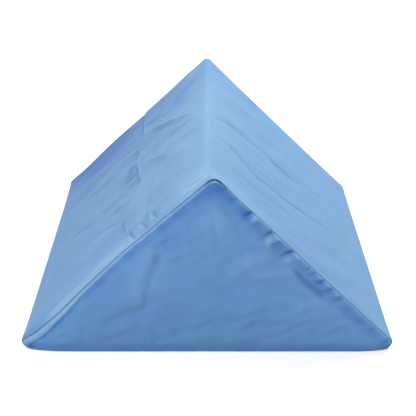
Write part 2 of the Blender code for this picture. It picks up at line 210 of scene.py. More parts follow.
NEAR_END_FOLDS = {
    # start u, start v, end u, end v, bow, half width, height: short ones that reach the seam
    "left": (
        (0.095, 0.030, 0.084, -0.002, 0.000, 0.0021, -0.0022),
        (0.103, 0.024, 0.091, -0.004, 0.000, 0.0030, 0.0012),
        (0.114, 0.026, 0.099, -0.004, 0.000, 0.0021, -0.0026),
        (0.120, 0.024, 0.108, -0.006, 0.000, 0.0034, 0.0014),
        (0.136, 0.030, 0.124, -0.002, 0.000, 0.0021, -0.0034),
        (0.143, 0.024, 0.131, -0.004, 0.000, 0.0026, 0.0012),
        (0.004, 0.016, 0.040, 0.022, 0.000, 0.0022, -0.0012),
    ),
    "right": (
        (0.010, 0.012, 0.330, 0.012, 0.000, 0.0020, -0.0004),
    ),
}
FRONT_PANEL_FOLDS = (
    # start x, start z, end x, end z, bow, half width, height
    (-0.068, 0.190, -0.090, 0.080, 0.000, 0.016, 0.0042),
    (-0.060, 0.152, -0.080, 0.072, 0.0035, 0.0065, -0.0019),
    (-0.078, 0.072, -0.138, 0.044, 0.000, 0.009, -0.0026),
    (0.030, 0.124, 0.080, 0.156, 0.000, 0.0085, 0.0026),
    (0.066, 0.119, 0.121, 0.127, 0.000, 0.0075, 0.0024),
    (-0.006, 0.115, 0.052, 0.081, 0.000, 0.010, -0.0024),
    (0.119, 0.073, 0.162, 0.083, 0.000, 0.009, 0.0026),
    (0.112, 0.129, 0.157, 0.085, 0.003, 0.0032, -0.0064),
    (0.020, 0.205, 0.036, 0.222, 0.000, 0.0090, -0.0014),
    (-0.003, 0.238, 0.031, 0.203, 0.000, 0.009, -0.0024),
    (0.228, 0.022, 0.240, 0.010, 0.000, 0.0025, -0.0020),
    (-0.212, 0.026, -0.189, 0.031, 0.000, 0.0022, 0.0016),
)
REAR_PANEL_FOLDS = (
    # start x, start z, end x, end z, bow, half width, height
    (-0.090, 0.060, 0.010, 0.120, 0.006, 0.020, 0.0018),
    (0.040, 0.050, 0.090, 0.120, -0.004, 0.018, -0.0015),
    (0.120, 0.040, 0.180, 0.050, 0.000, 0.016, 0.0015),
)
FRONT_SEAM_PUCKERS = {
    # share of the way down the seam, reach into the panel, half width, height
    "left": (
        (0.04, 0.020, 0.007, -0.0012),
        (0.14, 0.016, 0.005, -0.0012),
        (0.19, 0.014, 0.004, -0.0012),
        (0.26, 0.018, 0.005, -0.0014),
        (0.315, 0.020, 0.0035, -0.0022),
        (0.345, 0.020, 0.0030, 0.0018),
        (0.375, 0.022, 0.0040, -0.0026),
        (0.43, 0.014, 0.004, -0.0012),
    ),
    "right": (
        (0.052, 0.022, 0.0060, -0.0030),
        (0.112, 0.020, 0.0035, -0.0027),
        (0.140, 0.018, 0.0030, 0.0022),
        (0.192, 0.020, 0.0036, -0.0058),
        (0.218, 0.026, 0.0055, 0.0052),
        (0.305, 0.024, 0.0040, -0.0058),
        (0.332, 0.028, 0.0058, 0.0052),
        (0.416, 0.026, 0.0040, -0.0058),
        (0.442, 0.024, 0.0052, 0.0048),
        (0.514, 0.016, 0.0024, -0.0026),
        (0.542, 0.020, 0.0026, -0.0038),
        (0.567, 0.020, 0.0024, 0.0032),
        (0.590, 0.022, 0.0026, -0.0044),
        (0.615, 0.022, 0.0026, 0.0036),
        (0.640, 0.022, 0.0026, -0.0044),
        (0.667, 0.020, 0.0030, 0.0036),
        (0.694, 0.020, 0.0034, -0.0034),
        (0.882, 0.022, 0.0036, -0.0038),
        (0.962, 0.016, 0.0028, -0.0030),
        (0.992, 0.014, 0.0024, -0.0024),
    ),
}

# How folds fade: at their own ends, as a share of their length, and towards the cushion's ends,
# and how fast all loose relief rises away from the ridge and the base
FOLD_FADE = 0.15
FOLD_END_REACH = 0.030
NEAR_FOLD_REACH = 0.006
LOOSE_RISE = 4.0

# How the end panels rise out of the seam groove, roll over the edge and crown
PANEL_SEAM_DEPTH = 0.0005
PANEL_LIP_REACH = 0.0024
PANEL_END_REACH = 0.020
PANEL_LIP_SHARE = 0.56
PANEL_ROLL_REACH = 0.018
PANEL_CROWN = 0.0050
PANEL_CROWN_REACH = 0.090

# The groove is filled unevenly: share of its depth, and radian lengths of two waves along it
SEAM_UNEVENNESS = 0.8
SEAM_WAVES = (0.0105, 0.023)
SEAM_CLOSING = {
    # share of the way down the seam, how far the groove fills up
    "left": ((0.20, 0.3), (0.32, 0.0), (0.62, 0.0), (0.70, 1.8), (0.82, 1.8), (0.88, 0.0)),
    "right": ((0.18, 0.0), (0.28, 0.9)),
}

# Bead and hollow beside a panel's seams: distance in from the seam, half width, height
SEAM_BEAD = (0.0013, 0.0010, 0.0005)
SEAM_HOLLOW = (0.0085, 0.0045, -0.0012)

# The near end of the wrap swells a little: distance behind the end, half width, height
SEAM_SWELL = (0.026, 0.015, 0.0012)

# The far end of the left slope stands up a little: place down the slope, reach along u, reach
# from the far end, height
REAR_SWELL = (0.238, 0.092, 0.070, 0.0066)

# The tip of the near panel hangs in a small notch under the ridge
APEX_DROP = 0.0017
APEX_NOTCH_HEIGHT = 0.018

# Beside the foot of the near left seam the panel's cloth puffs up in a roll with a crease below
TONGUE_WIDTH = (
    # share of the way down the seam, width of the roll
    (0.60, 0.0030),
    (0.72, 0.0050),
    (0.80, 0.0066),
    (0.90, 0.0088),
    (1.00, 0.0080),
)
TONGUE_START_REACH = 0.15
TONGUE_CREASE_WIDTH = 0.0036
TONGUE_CREASE_DEPTH = 0.0015
TONGUE_PUFF = 0.0010

# Small gathers beside the seams: period, height and how far from the seam they are highest
GATHER_PERIOD = 0.0056
GATHER_HEIGHT = 0.00028
GATHER_REACH = 0.0050
PANEL_GATHER_SHARE = 3.0

# How the gathers change along a seam: radian lengths of two waves in their spacing and two in
# their strength, sizes of the first two, and the strength's middle and spread
GATHER_WAVES = (0.023, 0.011, 0.031, 0.013)
GATHER_DRIFTS = (1.2, 0.8)
GATHER_STRENGTH = (0.55, 0.45)

# Chance waves in the cloth, drawn from a fixed seed. Each layer grows stronger and weaker: how
# often its longest wave goes into that change, and the strength's middle and spread.
WAVE_CHANGE = (3.0, 5.0)
WAVE_STRENGTH = (0.65, 0.35)
SLOPE_WAVES = (
    # number of waves, shortest, longest, lean from the v direction, spread of lean, height
    (14, 0.050, 0.120, 0.0, 1.6, 0.00030),
    (16, 0.018, 0.040, 0.15, 0.5, 0.00003),
    (14, 0.010, 0.022, 0.0, 1.6, 0.00002),
)
PANEL_WAVES = (
    (14, 0.040, 0.100, 0.0, 1.6, 0.00055),
    (18, 0.014, 0.034, 0.0, 1.6, 0.00018),
)

# What each surface adds to the seed, and what the gathers along each edge add to that
SURFACE_SEEDS = {"left": 0, "right": 1, "front": 2, "rear": 3}
GATHER_SEEDS = {"slope": 20, "left": 0, "right": 10, "base": 30}

# Soft patches of painted light where the cloth is paler, or of painted shade where the amount is
# negative
SLOPE_LIGHT_AND_SHADE_PATCHES = {
    # u, v, reach along u, reach along v, amount
    "left": (
        (0.000, 0.250, 0.072, 0.500, 0.56),
        (0.000, 0.470, 0.030, 0.100, -0.26),
        (0.060, 0.000, 0.080, 0.022, 0.40),
        (0.015, 0.015, 0.040, 0.026, 0.55),
        (0.170, 0.009, 0.062, 0.016, 1.10),
        (0.262, 0.009, 0.036, 0.004, 1.60),
        (0.115, 0.120, 0.030, 0.090, 0.20),
        (0.150, 0.250, 0.120, 0.260, 0.14),
        (0.250, 0.480, 0.085, 0.090, -0.85),
        (0.170, 0.500, 0.060, 0.050, -0.45),
        (0.055, 0.405, 0.022, 0.030, -0.30),
        (0.290, 0.500, 0.050, 0.030, -0.50),
    ),
    "right": (
        (0.000, 0.250, 0.060, 0.500, 0.34),
        (0.000, 0.470, 0.030, 0.100, -0.20),
        (0.140, 0.004, 0.200, 0.012, 0.30),
        (0.060, 0.000, 0.060, 0.040, 0.18),
        (0.100, 0.300, 0.120, 0.200, 0.10),
    ),
}
# Painted shade near the top of the near panel, and painted light on its folds and puckers
PANEL_LIGHT_AND_SHADE_PATCHES = (
    # x, z, reach along x, reach along z, amount
    (-0.012, 0.236, 0.022, 0.016, -0.40),
    (0.018, 0.232, 0.020, 0.016, -0.55),
    (0.045, 0.208, 0.020, 0.016, -0.50),
    (-0.030, 0.212, 0.020, 0.014, -0.30),
    (-0.066, 0.178, 0.020, 0.014, -0.30),
    (-0.062, 0.130, 0.016, 0.040, 0.10),
    (0.003, 0.222, 0.012, 0.010, 0.34),
    (0.000, 0.200, 0.026, 0.016, 0.30),
    (0.050, 0.140, 0.030, 0.014, 0.10),
    (0.090, 0.122, 0.030, 0.008, 0.10),
    (0.143, 0.076, 0.026, 0.010, 0.10),
    (0.052, 0.200, 0.0050, 0.0045, 0.80),
    (0.074, 0.171, 0.0060, 0.0045, 0.80),
    (0.102, 0.144, 0.0060, 0.0045, 0.80),
)

# Bands of painted shade beside the seams, and of painted highlight on the seam beads and the hem's
# edge: distance in from the edge, half width, amount
PAINTED_SEAM_SHADE = (0.0068, 0.0048, -0.58)
PAINTED_BEAD_HIGHLIGHT = {"left": (0.0009, 0.0008, 1.00), "right": (0.0010, 0.0009, 0.15)}
PAINTED_HEM_HIGHLIGHT = (0.0012, 0.0012, 0.70)

# The painted shade beside a seam changes along it: radian lengths of two waves, middle and spread
PAINTED_SEAM_SHADE_WAVES = (0.0047, 0.0113)
PAINTED_SEAM_SHADE_STRENGTH = (0.6, 0.25)

# Painted shade, deeper towards the panel's foot: reach and amount
PAINTED_FOOT_SHADE = (0.018, -0.40)

# Painted highlight on the roll at the left foot, and painted light and shade on folds and puckers
# for each metre of height, paler where raised and deeper in troughs
PAINTED_TONGUE_HIGHLIGHT = 0.75
PUCKER_SHADING = 90.0
FOLD_SHADING = 38.0

# Stitch rows that hold the placket's hem, and the channel that they draw down in the cloth
STITCH_ROWS = (0.0855, 0.0935)
STITCH_CHANNEL_WIDTH = 0.0016
STITCH_CHANNEL_DEPTH = 0.0006
STITCH_ROW_MARGIN = 0.012
STITCH_ROW_STEP = 0.001
STITCH_ROW_LIFT = 0.0001

# A row wanders in two waves: swing and radian length of each, and what sets two rows apart
ROW_WANDER = ((0.0009, 0.041), (0.0005, 0.017))
ROW_PHASE = 40.0

# The stitches in the seam groove, and the shape of one stitch
SEAM_STITCH_DEPTH = 0.0007
SEAM_STITCH_STEPS = 400
STITCH_SIDES = 6
STITCH_RINGS = 5
STITCH_HALF_SHARE = 0.40
STITCH_END_GIRTH = 0.04
STITCH_DIP = 0.5
STITCH_TURN_REACH = 0.001

# How finely each surface is divided
SLOPE_START = 0.0105
SLOPE_END = 0.3325
SLOPE_DIVISIONS = 150
CORNER_DIVISIONS = 10
BASE_DIVISIONS = 24
STATIONS = 230
NEAR_SPACING = 0.40
PANEL_DIVISIONS = {"front": 250, "rear": 150}
OUTLINE_STEPS = 260
CORNER_CLUSTERING = 1.3
PLACKET_ROWS = 36
PLACKET_ROW_CROWDING = 0.6

# Patterns of the cloth: how fine each is, for a metre
THREAD_ACROSS = 900.0
THREAD_ALONG = 30.0
CREASE_SCALE = 45.0
CAST_SCALE = 14.0

# What the patterns do: to the colour's cast, the drift of the painted light and shade, and the
# roughness, and as relief
CAST_RANGE = (0.30, 0.70)
THREAD_CAST = 0.05
LIGHT_AND_SHADE_DRIFT = 0.25
CLOTH_ROUGHNESS = 0.80
THREAD_ROUGHNESS = 0.10
WEAVE_RELIEF = 0.00009
THREAD_RELIEF = 0.00005
CREASE_RELIEF = 0.0008

# The sewing thread: lean of its twist, relief of the twist, scale of its tone, roughness
TWIST_LEAN = 1.4
TWIST_RELIEF = 0.00006
TONE_SCALE = 160.0
SEWING_ROUGHNESS = 0.55
TONE_ROUGHNESS = 0.15

# The studio and the camera
FLOOR_LEVEL = -0.0004
LAMPS = {
    # place, target, side
    "key": ((-1.0, -1.5, 2.1), (0.0, 0.0, 0.10), 1.0),
    "rear": ((1.2, 1.8, 2.6), (0.0, 0.0, 0.15), 1.6),
}
FOCAL_LENGTH = 78.225
CAMERA_PLACE = (-0.0021, -1.2563, 0.7130)
CAMERA_DOWN = math.radians(26.363)
CAMERA_TURN = math.radians(-0.174)
CAMERA_ROLL = math.radians(0.097)


class CoverSettings(bpy.types.PropertyGroup):
    """Sizes and colours of the cloth and thread."""

    cloth_colour: FloatVectorProperty(
        name="Cloth", description="Main colour of the cover cloth", subtype="COLOR", size=3,
        default=(0.083, 0.190, 0.388), min=0.0, max=1.0)
    cool_colour: FloatVectorProperty(
        name="Cool cast", description="Colour that the cloth drifts to in some places",
        subtype="COLOR", size=3, default=(0.073, 0.194, 0.382), min=0.0, max=1.0)
    # Paler colour of the painted highlights, and of the thread's chance tone
    pale_tone_and_highlight_colour: FloatVectorProperty(
        name="Worn cloth", description="Paler colour of rubbed edges", subtype="COLOR", size=3,
        default=(0.164, 0.294, 0.462), min=0.0, max=1.0)
    # Colour of the painted shade
    painted_shade_colour: FloatVectorProperty(
        name="Deep cloth", description="Deeper colour of cloth that is hardly rubbed",
        subtype="COLOR", size=3, default=(0.040, 0.117, 0.352), min=0.0, max=1.0)
    thread_colour: FloatVectorProperty(
        name="Thread", description="Colour of the sewing thread", subtype="COLOR", size=3,
        default=(0.148, 0.268, 0.450), min=0.0, max=1.0)
    weave_pitch: FloatProperty(
        name="Weave pitch", description="Distance between threads of the plain weave",
        default=0.0007, min=0.0002, max=0.005, unit="LENGTH")
    stitch_length: FloatProperty(
        name="Stitch", description="Distance from one stitch to the next", default=0.0034,
        min=0.001, max=0.02, unit="LENGTH")
    thread_size: FloatProperty(
        name="Thread size", description="Thickness of the sewing thread", default=0.0008,
        min=0.0002, max=0.003, unit="LENGTH")
    wave_seed: IntProperty(
        name="Wave seed", description="Seed of the chance waves in the cloth", default=11, min=0)


class StudioSettings(bpy.types.PropertyGroup):
    """Floor and light of the studio."""

    floor_colour: FloatVectorProperty(
        name="Floor", description="Colour of the floor", subtype="COLOR", size=3,
        default=(0.98, 0.98, 0.98), min=0.0, max=1.0)
    floor_size: FloatProperty(
        name="Floor size", description="Side of the floor", default=14.0, min=1.0, unit="LENGTH")
    key_colour: FloatVectorProperty(
        name="Key colour", description="Colour of the light at the front left", subtype="COLOR",
        size=3, default=(1.0, 0.97, 0.96), min=0.0, max=1.0)
    rear_colour: FloatVectorProperty(
        name="Rear colour", description="Colour of the light behind on the right",
        subtype="COLOR", size=3, default=(1.0, 0.99, 0.88), min=0.0, max=1.0)
    world_strength: FloatProperty(
        name="Surround light", description="Strength of the white surround", default=0.36, min=0.0)
    key_power: FloatProperty(
        name="Key light", description="Power of the large light at the front left", default=67.0,
        min=0.0, unit="POWER")
    rear_power: FloatProperty(
        name="Rear light", description="Power of the light behind on the right", default=172.0,
        min=0.0, unit="POWER")


def smooth(share):
    """Ease from 0 to 1 as share goes from 0 to 1."""
    share = np.clip(share, 0.0, 1.0)
    return share * share * (3.0 - 2.0 * share)


def hump(share):
    """1 at the middle of a stretch and 0 at both ends."""
    return np.sin(math.pi * np.clip(share, 0.0, 1.0))


def fall(distance, reach):
    """1 at no distance, easing to 0 at the reach."""
    return np.clip(1.0 - distance / reach, 0.0, 1.0) ** 2


def bell(distance, half_width):
    """1 at no distance, falling away evenly on both sides."""
    return np.exp(-((distance / half_width) ** 2))


def band(row, distance):
    """What a band adds at a distance: its row holds its place, its half width and its amount."""
    place, half_width, amount = row
    return amount * bell(distance - place, half_width)


def along_table(table, place):
    """Smooth value at each place in a two-column table sorted by its first column."""
    place = np.asarray(place, dtype=float)
    result = np.full(place.shape, float(table[0][1]))
    for (start, low), (end, high) in zip(table, table[1:]):
        inside = place > start
        eased = low + (high - low) * smooth((place - start) / (end - start))
        result = np.where(inside, eased, result)
    return result


def fold_height(folds, p, q):
    """Height that a table of folds gives at each point."""
    total = 0.0
    for start_p, start_q, end_p, end_q, bow, half_width, height in folds:
        run_p, run_q = end_p - start_p, end_q - start_q
        length = math.hypot(run_p, run_q)
        share = ((p - start_p) * run_p + (q - start_q) * run_q) / length**2
        aside = ((p - start_p) * run_q - (q - start_q) * run_p) / length - bow * hump(share)
        ends = smooth((share + FOLD_FADE) / (2 * FOLD_FADE))
        ends = ends * smooth((1.0 + FOLD_FADE - share) / (2 * FOLD_FADE))
        total = total + height * ends * bell(aside, half_width)
    return total


def chance_waves(table, seed, p, q):
    """Height of long and short waves in chance directions, stronger in some places."""
    draw = np.random.default_rng(seed)
    total = 0.0
    for number, shortest, longest, lean, spread, height in table:
        layer = 0.0
        for _ in range(number):
            length = draw.uniform(shortest, longest)
            angle = lean + draw.uniform(-spread, spread)
            phase = draw.uniform(0.0, math.tau)
            along = p * math.sin(angle) + q * math.cos(angle)
            layer = layer + np.sin(math.tau * along / length + phase)
        patch_angle, patch_phase = draw.uniform(0.0, math.tau, 2)
        patch_length = longest * draw.uniform(*WAVE_CHANGE)
        patch = p * math.sin(patch_angle) + q * math.cos(patch_angle)
        middle, more = WAVE_STRENGTH
        strength = middle + more * np.sin(math.tau * patch / patch_length + patch_phase)
        total = total + layer * strength * height
    return total


def gathers(along, away, seed):
    """Small gathers across a seam, at a place along it and a distance away from it."""
    draw = np.random.default_rng(seed)
    phases = draw.uniform(0.0, math.tau, 4)
    slow = [np.sin(along / length + phase) for length, phase in zip(GATHER_WAVES, phases)]
    drift = GATHER_DRIFTS[0] * slow[0] + GATHER_DRIFTS[1] * slow[1]
    middle, more = GATHER_STRENGTH
    strength = middle + more * slow[2] * slow[3]
    near = away / GATHER_REACH
    return GATHER_HEIGHT * strength * near * np.exp(1.0 - near) * np.sin(
        math.tau * along / GATHER_PERIOD + drift)


def direction(angle):
    """Outward direction at an angle from straight up, turning towards +X."""
    return np.stack([np.sin(angle), np.cos(angle)], axis=-1)


def slope_angle():
    """Angle of the right slope's outward direction: it touches the ridge and base rounds."""
    run = WIDTH / 2 - BASE_ROUND
    drop = HEIGHT - RIDGE_ROUND - BASE_ROUND
    return math.atan2(drop, run) + math.asin((RIDGE_ROUND - BASE_ROUND) / math.hypot(run, drop))


SIDE_ANGLES = {"left": -slope_angle(), "right": slope_angle(), "base": math.pi}
SLOPE_REACH = math.cos(slope_angle()) * (HEIGHT - RIDGE_ROUND) + RIDGE_ROUND
SIDE_REACH = {"left": SLOPE_REACH, "right": SLOPE_REACH, "base": 0.0}


def meet(first, second, insets, deeper=0.0):
    """Where two sides of the section meet, each moved in by its inset and a bit deeper."""
    n1, n2 = direction(SIDE_ANGLES[first]), direction(SIDE_ANGLES[second])
    r1 = SIDE_REACH[first] - insets[first] - deeper
    r2 = SIDE_REACH[second] - insets[second] - deeper
    det = n1[0] * n2[1] - n1[1] * n2[0]
    return np.stack([(r1 * n2[1] - r2 * n1[1]) / det, (n1[0] * r2 - n2[0] * r1) / det], axis=-1)


NO_INSET = {"left": 0.0, "right": 0.0, "base": 0.0}
SLOPE_LENGTH = float(np.linalg.norm(
    meet("left", "right", NO_INSET) - meet("right", "base", NO_INSET)))


def lerp(start, end, share):
    """Points from start to end."""
    return start + (end - start) * np.asarray(share)[..., None]


class Rim:
    """The section's outline at one turn round the rim: 0 on the sleeve, 1 in the seam groove."""

    def __init__(self, turn, front, extra=0.0):
        self.turn = turn
        self.front = front
        self.insets = {side: inset * turn + extra for side, inset in SEAM_INSET.items()}

    def slope(self, side, u, v):
        """Points on a slope, with its crown and folds."""
        u, v = np.broadcast_arrays(np.asarray(u, dtype=float), np.asarray(v, dtype=float))
        share = u / SLOPE_LENGTH
        if self.turn > 0.0:
            v = np.full(u.shape, 0.0 if self.front else LENGTH)
        height = slope_relief(side, u, v)
        if self.front and side == "left":
            height = height - along_table(LEFT_SEAM_SWING, share) * self.turn
        flat = lerp(meet("left", "right", self.insets), meet(side, "base", self.insets), share)
        return flat + direction(SIDE_ANGLES[side]) * height[..., None]

    def corner(self, first, second, share):
        """Points on a rounded corner, share 0 at its first side and 1 at its second."""
        radius = BASE_ROUND if "base" in (first, second) else RIDGE_ROUND
        radius = max(radius - (self.insets[first] + self.insets[second]) / 2, SMALLEST_ROUND)
        start = -math.pi if first == "base" else SIDE_ANGLES[first]
        outward = direction(start + (SIDE_ANGLES[second] - start) * np.asarray(share))
        return meet(first, second, self.insets, radius) + outward * radius

    def ring(self, v):
        """Points right round the wedge at a distance from the near end."""
        steps = np.linspace(0.0, 1.0, CORNER_DIVISIONS + 1)
        lines = np.linspace(SLOPE_START, SLOPE_END, SLOPE_DIVISIONS + 1)
        left_foot = self.corner("base", "left", steps)
        right_foot = self.corner("right", "base", steps)
        inside = np.linspace(0.0, 1.0, BASE_DIVISIONS + 1)[1:-1]
        return np.concatenate([
            left_foot,
            self.slope("left", lines[::-1], v),
            self.corner("left", "right", steps),
            self.slope("right", lines, v),
            right_foot,
            lerp(right_foot[-1], left_foot[0], smooth(inside)),
        ])

    def outline(self):
        """The seam as three runs of points: ridge to left foot, to right foot, to ridge."""
        half = np.linspace(0.0, 0.5, CORNER_DIVISIONS + 1)
        lines = np.linspace(SLOPE_START, SLOPE_END, OUTLINE_STEPS + 1)
        left = np.concatenate([self.corner("left", "right", 0.5 - half),
                               self.slope("left", lines, 0.0),
                               self.corner("base", "left", 1.0 - half)])
        base = np.concatenate([self.corner("base", "left", 0.5 - half),
                               self.corner("right", "base", 1.0 - half)])
        right = np.concatenate([self.corner("right", "base", 0.5 - half),
                                self.slope("right", lines[::-1], 0.0),
                                self.corner("left", "right", 1.0 - half)])
        return left, base, right


def overlap_share(u, v):
    """1 where the wrap's upper part lies over its lower part."""
    to_end = np.minimum(v, LENGTH - v)
    share = smooth((PLACKET_TOP - u) / OVERLAP_STEP_WIDTH) * smooth(u / OVERLAP_RIDGE_REACH)
    return share * smooth(to_end / OVERLAP_END_REACH)


def stitch_row(row, v):
    """Where a stitch row of the placket runs: a sewn line that wanders a little."""
    (swing, length), (small_swing, small_length) = ROW_WANDER
    wander = swing * np.sin(v / length + ROW_PHASE * row)
    return row + wander + small_swing * np.sin(v / small_length)


def slope_relief(side, u, v):
    """Height of the cloth above a flat slope."""
    across = hump(u / SLOPE_LENGTH)
    to_end = np.minimum(v, LENGTH - v)
    height = SLOPE_CROWN * across
    height = height - FRONT_ROLL_DROP * across * fall(v, FRONT_ROLL_REACH)
    height = height - REAR_ROLL_DROP * across * fall(LENGTH - v, REAR_ROLL_REACH)
    if side == "left":
        height = height + OVERLAP_STEP * overlap_share(u, v)
        for row in STITCH_ROWS:
            channel = bell(u - stitch_row(row, v), STITCH_CHANNEL_WIDTH)
            height = height - STITCH_CHANNEL_DEPTH * channel * smooth(to_end / OVERLAP_END_REACH)
        place, reach_u, reach_v, lift = REAR_SWELL
        height = height + lift * bell(u - place, reach_u) * fall(LENGTH - v, reach_v)
    seed = bpy.context.scene.cover.wave_seed + SURFACE_SEEDS[side]
    loose = fold_height(SLOPE_FOLDS[side], u, v) * smooth(to_end / FOLD_END_REACH)
    loose = loose + chance_waves(SLOPE_WAVES, seed, u, v) * smooth(to_end / FOLD_END_REACH)
    loose = loose + gathers(u, to_end, seed + GATHER_SEEDS["slope"])
    loose = loose + fold_height(NEAR_END_FOLDS[side], u, v) * smooth(v / NEAR_FOLD_REACH)
    loose = loose + band(SEAM_SWELL, v) * smooth(v / SEAM_SWELL[0])
    return height + loose * smooth(across * LOOSE_RISE)


def settle(points, y):
    """World points: the near apex is set aside and spread, the near foot comes forward to the
    front, and the base corners are drawn up and along."""
    x, z = points[..., 0], points[..., 1]
    y = y + 0.0 * x
    near_end = np.maximum(1.0 - (y + LENGTH / 2) / APEX_SHIFT_REACH, 0.0)
    near_apex = smooth((z / HEIGHT - APEX_SHIFT_START) / (1.0 - APEX_SHIFT_START)) * near_end
    x = x + FRONT_APEX_SHIFT * near_apex
    spread = bell(z - HEIGHT + APEX_SPREAD_REACH / 2, APEX_SPREAD_REACH) * near_end
    x = x + APEX_SPREAD * spread * smooth(x / APEX_SPREAD_REACH)
    low = np.maximum(1.0 - z / LIFT_FADE_HEIGHT, 0.0)
    foot = fall(z, FOOT_RISE) * (1.0 - fall(WIDTH / 2 - abs(x), FOOT_CORNER_REACH))
    foot = foot * np.clip(1.0 - (y + LENGTH / 2) / FOOT_END_REACH, 0.0, 1.0)
    lifted_z, pulled_y = z, y - FRONT_SETBACK * foot
    for side, end, lift, reach_x, reach_y, pull in CORNER_LIFTS:
        near = fall(WIDTH / 2 - side * x, reach_x) * fall(LENGTH / 2 - end * y, reach_y) * low
        lifted_z = lifted_z + lift * near
        pulled_y = pulled_y + pull * near * end
    return np.stack([x, pulled_y, lifted_z], axis=-1)


def lengthwise(start, end):
    """Places from start to end along the wedge, closer together towards the near end."""
    share = np.linspace(0.0, 1.0, STATIONS + 1)
    return start + (end - start) * share * (NEAR_SPACING + (1.0 - NEAR_SPACING) * share)


def stations():
    """Where the body's rings lie: distance from the near end, and the turn round the rim."""
    front = [(FRONT_SETBACK + depth, Rim(turn, True)) for turn, depth in reversed(RIM_PROFILE)]
    rear = [(LENGTH - depth, Rim(turn, False)) for turn, depth in RIM_PROFILE]
    places = lengthwise(front[-1][0], rear[0][0])[1:-1]
    return front + [(v, Rim(0.0, True)) for v in places] + rear


def along_run(run, share):
    """Points at each share of a run's length."""
    lengths = np.concatenate([[0.0], np.cumsum(np.linalg.norm(np.diff(run, axis=0), axis=1))])
    wanted = np.asarray(share) * lengths[-1]
    return np.stack([np.interp(wanted, lengths, run[:, axis]) for axis in range(2)], axis=-1)


def panel_points(outline, weights):
    """Points in a panel from their three weights, which add up to 1."""
    corners = [run[0] for run in outline]
    flat = sum(weights[:, i, None] * corner for i, corner in enumerate(corners))
    for i, run in enumerate(outline):
        start, end = weights[:, i], weights[:, (i + 1) % 3]
        both = start + end
        share = np.where(both > 0.0, end / np.maximum(both, 1e-12), 0.0)
        straight = lerp(corners[i], corners[(i + 1) % 3], share)
        flat = flat + (along_run(run, share) - straight) * (both**2)[:, None]
    return flat


def panel_places(weights):
    """Distance in from each edge of a panel, and share of the way down each of its seams."""
    ridge, left, right = weights.T
    slope_width = WIDTH * HEIGHT / SLOPE_LENGTH
    inward = {"left": right * slope_width, "right": left * slope_width, "base": ridge * HEIGHT}
    seam_share = {"left": left / np.maximum(left + ridge, 1e-9),
                  "right": right / np.maximum(right + ridge, 1e-9)}
    return inward, seam_share


def tongue(inward, seam_share):
    """The roll of cloth at the left foot: how puffed it is, its width and the share across it."""
    width = along_table(TONGUE_WIDTH, seam_share)
    puffed = smooth((seam_share - TONGUE_WIDTH[0][0]) / TONGUE_START_REACH)
    return puffed, width, inward / width


def panel_roll(front, inward, left_share):
    """How far behind the front plane a panel's face lies as it rolls over its edges."""
    depth = PANEL_SEAM_DEPTH + (FRONT_SETBACK if front else 0.0)
    rolled = depth * fall(inward["base"], FOOT_RISE)
    for side in ("left", "right"):
        lip = PANEL_LIP_SHARE * fall(inward[side], PANEL_LIP_REACH)
        roll = (1.0 - PANEL_LIP_SHARE) * fall(inward[side], PANEL_ROLL_REACH)
        rolled = np.maximum(rolled, depth * (lip + roll))
    if front:
        puffed, width, across = tongue(inward["left"], left_share)
        rolled = np.maximum(rolled, depth * puffed * fall(across, 1.0))
        rolled = rolled - TONGUE_PUFF * puffed * hump(across)
        rolled = rolled + TONGUE_CREASE_DEPTH * puffed * bell(
            inward["left"] - width, TONGUE_CREASE_WIDTH)
    return rolled


def panel_heights(front, points, weights):
    """Height of an end panel's face in front of the end plane."""
    inward, seam_share = panel_places(weights)
    height = PANEL_CROWN - panel_roll(front, inward, seam_share["left"])
    crown = 1.0
    for distance in inward.values():
        crown = crown * smooth(distance / PANEL_CROWN_REACH)
    height = height - PANEL_CROWN * (1.0 - crown)
    seed = bpy.context.scene.cover.wave_seed + SURFACE_SEEDS["front" if front else "rear"]
    ends = smooth(inward["base"] / PANEL_END_REACH)
    ends = ends * smooth((HEIGHT - points[:, 1]) / PANEL_END_REACH)
    short, long = SEAM_WAVES
    for number, side in enumerate(("left", "right")):
        for row in (SEAM_BEAD, SEAM_HOLLOW):
            height = height + band(row, inward[side]) * ends
        along = seam_share[side] * SLOPE_LENGTH
        uneven = np.sin(along / short + 1.0 + number) * np.sin(along / long + number)
        level = SEAM_UNEVENNESS * uneven + along_table(SEAM_CLOSING[side], seam_share[side])
        height = height + PANEL_SEAM_DEPTH * level * fall(inward[side], PANEL_LIP_REACH) * ends
        gather = gathers(along, inward[side], seed + GATHER_SEEDS[side])
        height = height + gather * PANEL_GATHER_SHARE * ends
    height = height + gathers(points[:, 0], inward["base"], seed + GATHER_SEEDS["base"])
    loose = fold_height(FRONT_PANEL_FOLDS if front else REAR_PANEL_FOLDS, *points.T)
    loose = loose + chance_waves(PANEL_WAVES, seed, *points.T)
    nearest = np.minimum(np.minimum(inward["left"], inward["right"]), inward["base"])
    height = height + loose * smooth(nearest / PANEL_ROLL_REACH)
    if front:
        for side in ("left", "right"):
            height = height + pucker_heights(side, inward[side], seam_share[side])
    return height


def pucker_heights(side, inward, share):
    """Height of the near panel's puckers at a distance in from a seam."""
    total = 0.0
    for place, reach, half_width, lift in FRONT_SEAM_PUCKERS[side]:
        aside = (share - place) * SLOPE_LENGTH
        total = total + lift * fall(inward, reach) * bell(aside, half_width)
    return total * smooth(inward / PANEL_LIP_REACH)


def patches(table, p, q):
    """How much paler or deeper a table of soft patches makes the cloth at each point."""
    return sum(amount * bell(p - place_p, reach_p) * bell(q - place_q, reach_q)
               for place_p, place_q, reach_p, reach_q, amount in table)


def slope_painted_light_and_shade(points):
    """How much painted light makes the cloth paler, or painted shade deeper, at each point of the
    wrap or the placket.
    """
    x, y, z = points.T
    outward = direction(SIDE_ANGLES["right"])
    u = abs(x) * outward[1] + (SLOPE_REACH / outward[1] - z) * outward[0]
    v = y + LENGTH / 2
    # Painted light and shade patches of each slope
    left, right = (patches(SLOPE_LIGHT_AND_SHADE_PATCHES[side], u, v) for side in ("left", "right"))
    return left + (right - left) * smooth(x / RIDGE_ROUND + 0.5)


